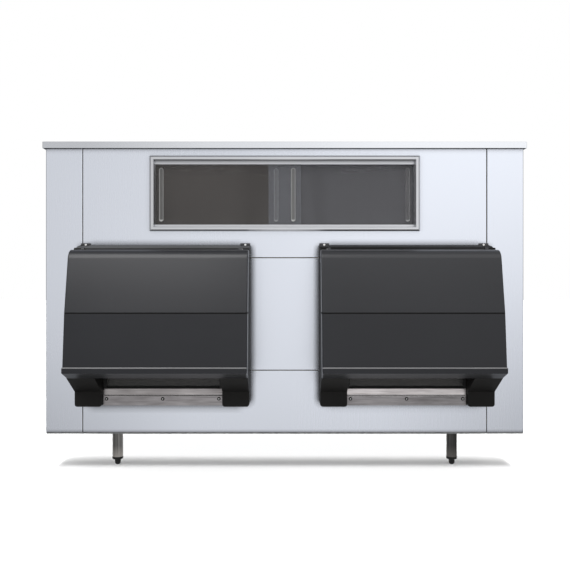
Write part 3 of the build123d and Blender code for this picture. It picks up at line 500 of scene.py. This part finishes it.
# %% Aluminium and zinc
def anodised(name, color, recess):
    """Aluminium extrusion; recess gives the height and the front and back of the underside
    behind the bezel, which is painted dark as painted shade."""
    finish = Finish(name)
    lines = finish.noise(finish.place((4.0, 700.0, 700.0)), 1.0)
    speck = finish.noise(finish.place(), 1800.0)
    height, front, back = recess
    _, y, z = finish.axes()
    under = (1 - (z - height).size() * 1500.0).between(0.0, 1.0)
    under = under * (y - front).ramp(1500.0) * (back - y).ramp(1500.0)
    metal = finish.blend_colors(lines, scaled(color, 0.9), color)
    return finish.surface(
        # The underside behind the bezel is painted dark: painted shade.
        Base_Color=finish.blend_colors(under * 0.9, metal, (0.04, 0.04, 0.045)),
        Metallic=1.0,
        Roughness=0.36 + (speck - 0.5) * 0.1,
        Normal=finish.bump(lines + speck * 0.4, 0.05, 0.0002),
    )


def galvanised(name):
    """Zinc-coated sheet; each crystal has its own grey, and the greys are dark, partly as
    painted shade.
    """
    finish = Finish(name)
    crystals = finish.node(
        "ShaderNodeTexVoronoi",
        {"feature": "F1"},
        {"Vector": finish.place(), "Scale": 90.0},
        output="Color",
    )
    grey = finish.node("ShaderNodeSeparateColor", sockets={"Color": crystals})
    return finish.surface(
        # Dark greys, partly painted shade for the strip below the panels.
        Base_Color=finish.blend_colors(grey, (0.15, 0.155, 0.16), (0.27, 0.275, 0.28)),
        Metallic=0.9,
        Roughness=0.38 + grey * 0.16,
    )


opening_top = 1.2010
underside_front = face_y - 0.0045
underside_back = face_y + 0.0198
finishes["window_aluminium"] = anodised(
    "window_aluminium",
    (0.69, 0.70, 0.73),
    recess=(opening_top, underside_front, underside_back),
)
finishes["galvanised"] = galvanised("galvanised")
print("other metals:", ["window_aluminium", "galvanised"])

# %% [markdown]
# The doors are moulded plastic with a fine satin texture. Three noises make it: a pebble of
# about a millimetre for the bump, flow lines from side to side that vary the gloss, and a
# slow drift of tone that keeps large faces from looking like flat paint. The frames are the
# same plastic, blacker and duller. The groove across each door is painted near black, as
# painted shade. The top of each door's lip and the top of the left frame are painted grey,
# as painted highlights, and the liner is painted dark grey, as painted shade.

# %% Moulded plastics
def moulded(
    name,
    color,
    roughness,
    pebble=900.0,
    depth=0.10,
    shine=0.5,
    groove=None,
    painted_highlight=None,
    painted_highlight_tone=(0.20, 0.20, 0.205),
):
    """Satin plastic; groove gives the height and half width of a moulded line painted near
    black and matt, as painted shade, and crest the heights and the depth of an edge painted
    grey, as a painted highlight."""
    finish = Finish(name)
    grain = finish.noise(finish.place(), pebble, detail=2.0, roughness=0.55)
    slow = finish.noise(finish.place(), 3.0, detail=2.0)
    flow = finish.noise(finish.place((1.2, 40.0, 40.0)), 1.0, detail=3.0, roughness=0.6)
    tone = finish.blend_colors(slow, scaled(color, 0.86), scaled(color, 1.14))
    gloss = roughness + (slow - 0.5) * 0.06 + (grain - 0.5) * 0.05 + (flow - 0.5) * 0.10
    if groove:
        height, half_width = groove
        # The groove is painted near black and matt: painted shade.
        inside = (half_width - (finish.axes()[2] - height).size()).ramp(2000.0)
        tone = finish.blend_colors(inside, tone, (0.001, 0.001, 0.001))
        gloss = gloss + inside * 0.6
    if painted_highlight:
        low, high, front = painted_highlight
        _, y, z = finish.axes()
        # A band painted grey along the edge: a painted highlight.
        painted_light_band = (z - low).ramp(1200.0) * (high - z).ramp(1200.0) * (front - y).ramp(800.0)
        highlight_noise = finish.noise(finish.place((6.0, 60.0, 60.0)), 1.0, detail=2.0)
        tone = finish.blend_colors(painted_light_band * (0.75 + highlight_noise * 0.4), tone, painted_highlight_tone)
    return finish.surface(
        Base_Color=tone,
        Roughness=gloss.at_most(1.0),
        Specular_IOR_Level=shine,
        Normal=finish.bump(grain, depth, 0.0003),
    )


door_groove = (0.6223, 0.0030)
# Bands of painted highlight: the top of each door's lip, and the top of the left frame.
lip_highlight_band = (0.4300, 0.4350, -0.5460)
frame_top_highlight = (0.8590, 0.8800, face_y)
frame_color = (0.006, 0.0055, 0.005)
finishes["door_charcoal"] = moulded(
    "door_charcoal",
    (0.0086, 0.0091, 0.0116),
    0.32,
    shine=0.34,
    groove=door_groove,
    painted_highlight=lip_highlight_band,
)
# The left door frame gets a copy with a painted highlight along its top.
left_frame_highlighted = moulded(
    "left_frame_black_highlighted",
    frame_color,
    0.60,
    shine=0.2,
    painted_highlight=frame_top_highlight,
    painted_highlight_tone=(0.060, 0.061, 0.063),
)
finishes["frame_black"] = moulded("frame_black", frame_color, 0.60, shine=0.2)
finishes["track_black"] = moulded("track_black", (0.010, 0.010, 0.010), 0.5, shine=0.3)
finishes["plug_black"] = moulded("plug_black", (0.006, 0.006, 0.006), 0.4, shine=0.3)
finishes["foot_black"] = moulded("foot_black", (0.003, 0.003, 0.003), 0.18, depth=0.04, shine=0.35)
finishes["rubber_black"] = moulded("rubber_black", (0.008, 0.008, 0.008), 0.75, shine=0.2)
finishes["drain_plastic"] = moulded("drain_plastic", (0.55, 0.56, 0.57), 0.4)
# The liner's tone is painted dark grey, as painted shade for the dark inside of the bin.
finishes["liner_white"] = moulded("liner_white", (0.10, 0.096, 0.093), 0.5, depth=0.06)
finishes["foam"] = moulded("foam", (0.70, 0.60, 0.36), 0.9, pebble=300.0, depth=0.5)
print("plastics:", len(finishes))

# %% [markdown]
# The window panes and the ice shields are clear sheet with a smoky tint. Real tinted sheet
# would need light to travel through it, which is slow and noisy. Lowering the alpha of a
# dark glossy surface gives the same look from outside: part of the dark interior shows
# through, and the face keeps its reflections. Each face of a sheet counts, so light passes
# two layers. The rim and the lower end of each finger pull are painted light, as painted
# highlights. Where the panes overlap, the tone is painted lighter, as a painted reflection,
# and the two panes get a darker and a lighter copy of one tint, as painted light.

# %% Clear sheet
overlap_reflection_tint = (0.235, 0.242, 0.268)


def clear_sheet(name, color, cover, roughness, pulls=None, tone_of_pull=None, overlap=None):
    """Tinted sheet; pulls gives the ground finger pulls: each one's centre and how much it
    shows, then their heights and radius. Their rims and lower ends get painted highlights.
    From overlap on, another sheet lies behind it, and the tone is painted lighter there, as a
    painted reflection."""
    finish = Finish(name)
    haze = finish.noise(finish.place((11.0, 11.0, 1.2)), 1.0, detail=3.0)
    drift = ((haze - 0.5) * 2.0 + 0.5).between(0.0, 1.0)
    tone = finish.blend_colors(drift, scaled(color, 0.80), scaled(color, 1.15))
    if overlap:
        # Painted reflection: the overlap is painted lighter.
        overlap_reflection = (finish.axes()[0] - overlap).ramp(900.0)
        tone = finish.blend_colors(overlap_reflection, tone, overlap_reflection_tint)
    gloss = roughness + haze * 0.05
    alpha = cover + (haze - 0.5) * 0.04
    if pulls:
        centers, low, high, radius = pulls
        x, _, z = finish.axes()
        beyond = ((z - (low + high) / 2).size() - (high - low) / 2).at_least(0.0)
        ground = 0.0
        rim = 0.0
        for center, shows in centers:
            from_line = (x - center).size()
            apart = (from_line * from_line + beyond * beyond).root()
            ground = (radius - apart).ramp(900.0) * shows + ground
            # Painted highlight along the rim of each pull.
            near_rim = 1 - (apart - radius * 0.80).size() * 520.0
            rim = near_rim.between(0.0, 1.0) * shows + rim
        # Painted highlight at the lower end of each pull.
        end_highlight = (low - z).ramp(300.0) * ground
        scratches = finish.noise(finish.place((500.0, 500.0, 40.0)), 1.0)
        tone = finish.blend_colors(ground * 0.8, tone, scaled(tone_of_pull, 0.45))
        tone = finish.blend_colors((rim * 0.75 + end_highlight).at_most(1.0), tone, tone_of_pull)
        gloss = gloss + ground * 0.35
        alpha = alpha + ground * 0.22 + scratches * ground * 0.12 + rim * 0.35 + end_highlight * 0.2
    return finish.surface(
        Base_Color=tone, Roughness=gloss.at_most(1.0), Alpha=alpha.at_most(0.95)
    )


pull_inset = 0.030
pull_low, pull_high = 0.9765, 1.1665
pull_radius = 0.0090
pull_centers = []
for pane in ("left_window_pane", "right_window_pane"):
    low_corner, high_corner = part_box(pane)
    pull_centers.append((low_corner[0] + pull_inset, high_corner[0] - pull_inset))
# The two panes and their pulls get a darker and a lighter copy of one tint, as painted light.
pane_tints = {
    "left_window_pane": ((0.160, 0.147, 0.141), (0.60, 0.60, 0.59)),
    "right_window_pane": ((0.245, 0.245, 0.268), (0.95, 0.95, 0.95)),
}
pull_marks = {"left_window_pane": (1.0, 1.0), "right_window_pane": (1.0, 0.4)}
overlaps = {"left_window_pane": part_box("right_window_pane")[0][0]}
pane_finishes = {}
for (pane, (tint, pull_tone)), centers in zip(pane_tints.items(), pull_centers):
    marked = tuple(zip(centers, pull_marks[pane]))
    pulls = (marked, pull_low, pull_high, pull_radius)
    pane_finishes[pane] = clear_sheet(
        pane + "_clear", tint, 0.34, 0.08, pulls, pull_tone, overlaps.get(pane)
    )
finishes["pane_clear"] = pane_finishes["left_window_pane"]
finishes["shield_clear"] = clear_sheet("shield_clear", (0.040, 0.038, 0.036), 0.75, 0.25)
print("clear sheets:", sorted(pane_finishes), "pulls at", pull_centers)

# %% [markdown]
# Parts of one material have one finish, so the finishes aren't handed out by name. The
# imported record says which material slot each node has, and every slot has its finish. Some
# parts look different from others of their material, as the right leg does, which stands in
# shade in the photograph. They get a finish of their own.

# %% Put the finishes on the CAD nodes
own_finishes = {**pane_finishes, "sill_screws": sill_screw_finish}
own_finishes["frame_clips"] = brushed_steel("clip_steel", (0.09, 0.09, 0.095), even_grain, 0.45)
for side in sides:
    own_finishes[side + "_door_liner"] = moulded(
        side + "_liner_black", (0.020, 0.020, 0.021), 0.42, shine=0.4
    )
# The right sill's copy carries painted light and shade on its two strips.
own_finishes["right_sill"] = right_sill_painted_light
# The left door frame's copy carries a painted highlight.
own_finishes["left_door_frame"] = left_frame_highlighted
for name in ("front_right_leg", "rear_right_leg"):
    own_finishes[name] = right_leg_finish
slots = {}
for entry in frame["record"]["subparts"]:
    name = entry["node"]
    slots[name] = entry["material_slot"]
    material = own_finishes.get(name, finishes[slots[name]])
    nodes[name].data.materials.clear()
    nodes[name].data.materials.append(material)
print("dressed nodes:", len(slots))

# %% [markdown]
# A CAD node arrives as loose flat triangles, so a bend shows as a row of strips. Bent steel
# and moulded plastic have no strips, and their cut edges are a little rounded, which is
# what catches the light in a photograph. So most pieces whose bends or round faces show
# get a merged copy. Its flat triangles are dissolved into whole faces, and weighted normals
# keep the flats flat while the bends shade smoothly. The window's and doors' frames get a
# small bevel on their long sharp edges too. The copy stands for its node and rides on the
# same body.

# %% A finished copy of a node
sharp_angle = math.radians(33)
bevel_angle = math.radians(55)
flat_angle = math.radians(0.4)
shortest_edge = 0.015
same_point = 0.000003
rail_edge = 0.0005
frame_edge = 0.0010


def finished_copy(name, edge):
    """A merged, smooth copy of a CAD node, with bevels of the given size on long edges."""
    shape = bmesh.new()
    shape.from_mesh(nodes[name].data)
    bmesh.ops.remove_doubles(shape, verts=shape.verts, dist=same_point)
    bmesh.ops.dissolve_limit(shape, angle_limit=flat_angle, verts=shape.verts, edges=shape.edges)
    if edge:
        long_edges = [
            e
            for e in shape.edges
            if e.is_manifold
            and e.calc_length() > shortest_edge
            and e.calc_face_angle() > bevel_angle
        ]
        bmesh.ops.bevel(
            shape,
            geom=long_edges,
            offset=edge,
            offset_type="OFFSET",
            segments=2,
            profile=0.5,
            affect="EDGES",
            clamp_overlap=True,
            material=-1,
        )
    for face in shape.faces:
        face.smooth = True
    for e in shape.edges:
        e.smooth = e.is_manifold and e.calc_face_angle() < sharp_angle
    mesh = bpy.data.meshes.new(name + "_finished")
    shape.to_mesh(mesh)
    shape.free()
    mesh.materials.append(nodes[name].data.materials[0])
    piece = bpy.data.objects.new(name + "_finished", mesh)
    scene.collection.objects.link(piece)
    weighted = piece.modifiers.new("flat faces stay flat", "WEIGHTED_NORMAL")
    weighted.keep_sharp = True
    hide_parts(name)
    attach(piece, body_of(nodes[name])[0])
    return piece


corners = ("front_left", "front_right", "rear_left", "rear_right")
small_parts = ("clip_screws", "sill_screws", "frame_clips", "back_screws")
edge_sizes = dict.fromkeys(("top_cover", "base_pan", "liner") + small_parts, 0.0)
for member in ("top_rail", "bottom_rail", "left_stile", "right_stile"):
    edge_sizes["window_" + member] = rail_edge
for side in sides:
    edge_sizes[side + "_side_panel"] = 0.0
    edge_sizes[side + "_door_shell"] = 0.0
    edge_sizes[side + "_door_frame"] = frame_edge
    edge_sizes[side + "_door_liner"] = 0.0
    edge_sizes[side + "_sill"] = 0.0
for corner in corners:
    for part in ("_leg", "_leg_plug", "_foot"):
        edge_sizes[corner + part] = 0.0
finished = {name: finished_copy(name, edge) for name, edge in edge_sizes.items()}
print("finished copies:", len(finished))

# %% [markdown]
# The studio is a white sweep. The world shines evenly on matt surfaces. Metal shows what
# stands in front of it, so the world that metal sees is greyer on the left and rises to
# the upper right, as the panels in the photograph do. Dark flags far out on both sides
# draw the thin grey lines along the cabinet's rounded edges, and the world is a little
# darker overhead and behind the cabinet. The camera itself sees plain white.

# %% World
world = bpy.data.worlds.new("studio")
world.use_nodes = True
scene.world = world
sky = Finish("studio", world.node_tree)
direction = sky.node("ShaderNodeTexCoord", output="Generated")
across, depth, upward = sky.axes(direction)
panel_reach = 0.35
near_reach = 0.14
cover_height = 0.22
flag_place = 0.74
on_left = across.between(-panel_reach, 0.0)
on_right = across.between(0.0, panel_reach)
near_right = across.between(0.0, near_reach)
above = upward.between(0.0, cover_height)
level_glow = 0.98 + on_left * 0.68 + near_right * 1.05 - on_right * 0.5
slope = above * (near_right * 9.0 + on_right * 0.8 - on_left * 0.9 - 0.3)
flags = 1 - (across.size() - flag_place).ramp(7.0) * 0.5
ceiling = 1 - (upward - cover_height).ramp(3.0) * 0.12
behind = 1 - depth.between(0.0, 0.3) * 0.5
seen_in_metal = (level_glow + slope) * flags * ceiling * behind
paths = sky.tree.nodes.new("ShaderNodeLightPath")
is_camera = Wire(sky.tree, paths.outputs["Is Camera Ray"])
is_glossy = Wire(sky.tree, paths.outputs["Is Glossy Ray"])
soft_light = 0.62
strength = is_camera + (1 - is_camera) * (
    is_glossy * seen_in_metal + (1 - is_glossy) * soft_light
)
backdrop = sky.node(
    "ShaderNodeBackground", sockets={"Color": (1, 1, 1, 1), "Strength": strength}
)
sky.node("ShaderNodeOutputWorld", sockets={"Surface": backdrop})
print("world light for matt surfaces:", soft_light)

# %% [markdown]
# The floor is white and matt. For the camera it also glows a little, so that open floor
# reads as white. Matt surfaces see a greyer floor, so that its bounce doesn't wash out the
# underside. Metal sees a floor that is darkest at the cabinet's foot and brightens until it
# meets the world at the horizon. `upness` is how far up the panel, from the foot to the
# camera's height, a spot of floor is mirrored, and `aside` is the sideways slope of the
# ray that reaches it. The mirrored floor is darker out to the sides than in the middle. It
# is a glowing card for reflections only, so they aren't physical.

# %% Floor
floor_half = 30.0
camera_glow = 0.22
edge_slope = 0.33
middle_slope = 0.14
floor_mesh = bpy.data.meshes.new("floor")
sheet = bmesh.new()
bmesh.ops.create_grid(sheet, x_segments=1, y_segments=1, size=floor_half)
sheet.to_mesh(floor_mesh)
sheet.free()
floor = bpy.data.objects.new("floor", floor_mesh)
scene.collection.objects.link(floor)
paper = Finish("floor_white")
floor_paths = paper.tree.nodes.new("ShaderNodeLightPath")
floor_camera = Wire(paper.tree, floor_paths.outputs["Is Camera Ray"])
floor_glossy = Wire(paper.tree, floor_paths.outputs["Is Glossy Ray"])
floor_x, floor_y, _ = paper.axes()
off_side = (floor_x.size() * 0.6).at_most(1.0)
unseen = paper.blend_colors(off_side, (0.47, 0.47, 0.47), (0.15, 0.15, 0.15))
matt = paper.node(
    "ShaderNodeBsdfDiffuse",
    sockets={"Color": paper.blend_colors(floor_camera, unseen, (0.72, 0.72, 0.72))},
)
glow = paper.node(
    "ShaderNodeEmission",
    sockets={"Color": (1, 1, 1, 1), "Strength": floor_camera * camera_glow},
)
both = paper.node("ShaderNodeAddShader", sockets={0: matt, 1: glow})
ahead = ((floor_x * floor_x + floor_y * floor_y).root() + face_y).at_least(0.1)
far = ahead + camera_distance
upness = ahead / far
aside = (floor_x / far).between(-edge_slope, edge_slope)
to_side = (aside.size() - middle_slope).ramp(5.3)
at_side = upness * 0.55 + aside * 0.04 + 0.285
in_middle = upness * 0.33 + 0.68
mirrored = in_middle * (1 - to_side) + at_side * to_side
card = paper.node(
    "ShaderNodeEmission",
    sockets={"Color": paper.blend_colors(mirrored, (0, 0, 0), (1, 1, 1)), "Strength": 1.0},
)
sorted_floor = paper.node("ShaderNodeMixShader", sockets={0: floor_glossy, 1: both, 2: card})
paper.node("ShaderNodeOutputMaterial", sockets={"Surface": sorted_floor})
floor_mesh.materials.append(paper.material)
print("floor laid")

# %% [markdown]
# Two weak soft boxes light everything from both sides and leave no highlights. Two more
# hang high in front of the doors. Through light linking they reach the door shells alone,
# and the left one the left door frame too: they make the sheen that fades down each door
# and the bright line along its bend, without burning out the steel. The floor has two lamps
# of its own, a high one in front and a low one behind. The cabinet keeps the front one off
# the floor beneath it and the back one off the strip under its front edge, and what is left
# is a flat shadow.

# %% Lamps
def aim(holder, place, target):
    """Put a lamp at a place, turned to a target."""
    holder.location = place
    toward = Vector(target) - Vector(place)
    holder.rotation_euler = toward.to_track_quat("-Z", "Y").to_euler()
    scene.collection.objects.link(holder)


def group_of(name, pieces):
    group = bpy.data.collections.new(name)
    for piece in pieces:
        group.objects.link(piece)
    return group


def shine_only_on(holder, lit):
    """Light linking: the lamp reaches these objects and no others."""
    holder.light_linking.receiver_collection = group_of(holder.name + "_receivers", lit)


def soft_box(name, place, target, size, power, mirrored=True):
    """An area lamp; an unmirrored one lights matt surfaces and leaves no highlight."""
    lamp = bpy.data.lights.new(name, "AREA")
    lamp.shape = "RECTANGLE"
    lamp.size = size[0]
    lamp.size_y = size[1]
    lamp.energy = power
    holder = bpy.data.objects.new(name, lamp)
    holder.visible_glossy = mirrored
    aim(holder, place, target)
    return holder


def floor_lamp(name, place, strength, spread):
    """A sun for the floor alone, which only the cabinet's outer pieces keep off."""
    lamp = bpy.data.lights.new(name, "SUN")
    lamp.energy = strength
    lamp.angle = math.radians(spread)
    holder = bpy.data.objects.new(name, lamp)
    aim(holder, place, (0, 0, 0))
    shine_only_on(holder, [floor])
    holder.light_linking.blocker_collection = group_of(name + "_blockers", cabinet_pieces)


cabinet_names = ("left_side_panel", "right_side_panel", "base_pan", "top_cover")
cabinet_pieces = [finished[name] for name in cabinet_names] + [nodes["back_panel"]]
door_pieces = [finished[side + "_door_shell"] for side in sides]
soft_box("key_box", (-1.6, -2.6, 3.2), (-0.2, -0.3, 0.7), (2.4, 1.6), power=25, mirrored=False)
soft_box("fill_box", (2.8, -2.2, 2.2), (0.3, -0.3, 0.7), (1.6, 1.6), power=12, mirrored=False)
door_boxes = []
for side, out, power in zip(sides, (-1, 1), (94, 25)):
    place = (out * 1.1, -2.49, 3.12)
    target = (out * 0.45, -0.5, 0.75)
    door_boxes.append(soft_box(side + "_door_box", place, target, (2.0, 2.5), power))
left_box, right_box = door_boxes
shine_only_on(left_box, door_pieces + [finished["left_door_frame"]])
shine_only_on(right_box, door_pieces)
floor_lamp("front_floor_lamp", (0.0, -2.5, 3.30), strength=3.0, spread=20)
floor_lamp("back_floor_lamp", (0.0, 5.0, 1.205), strength=12.8, spread=3)
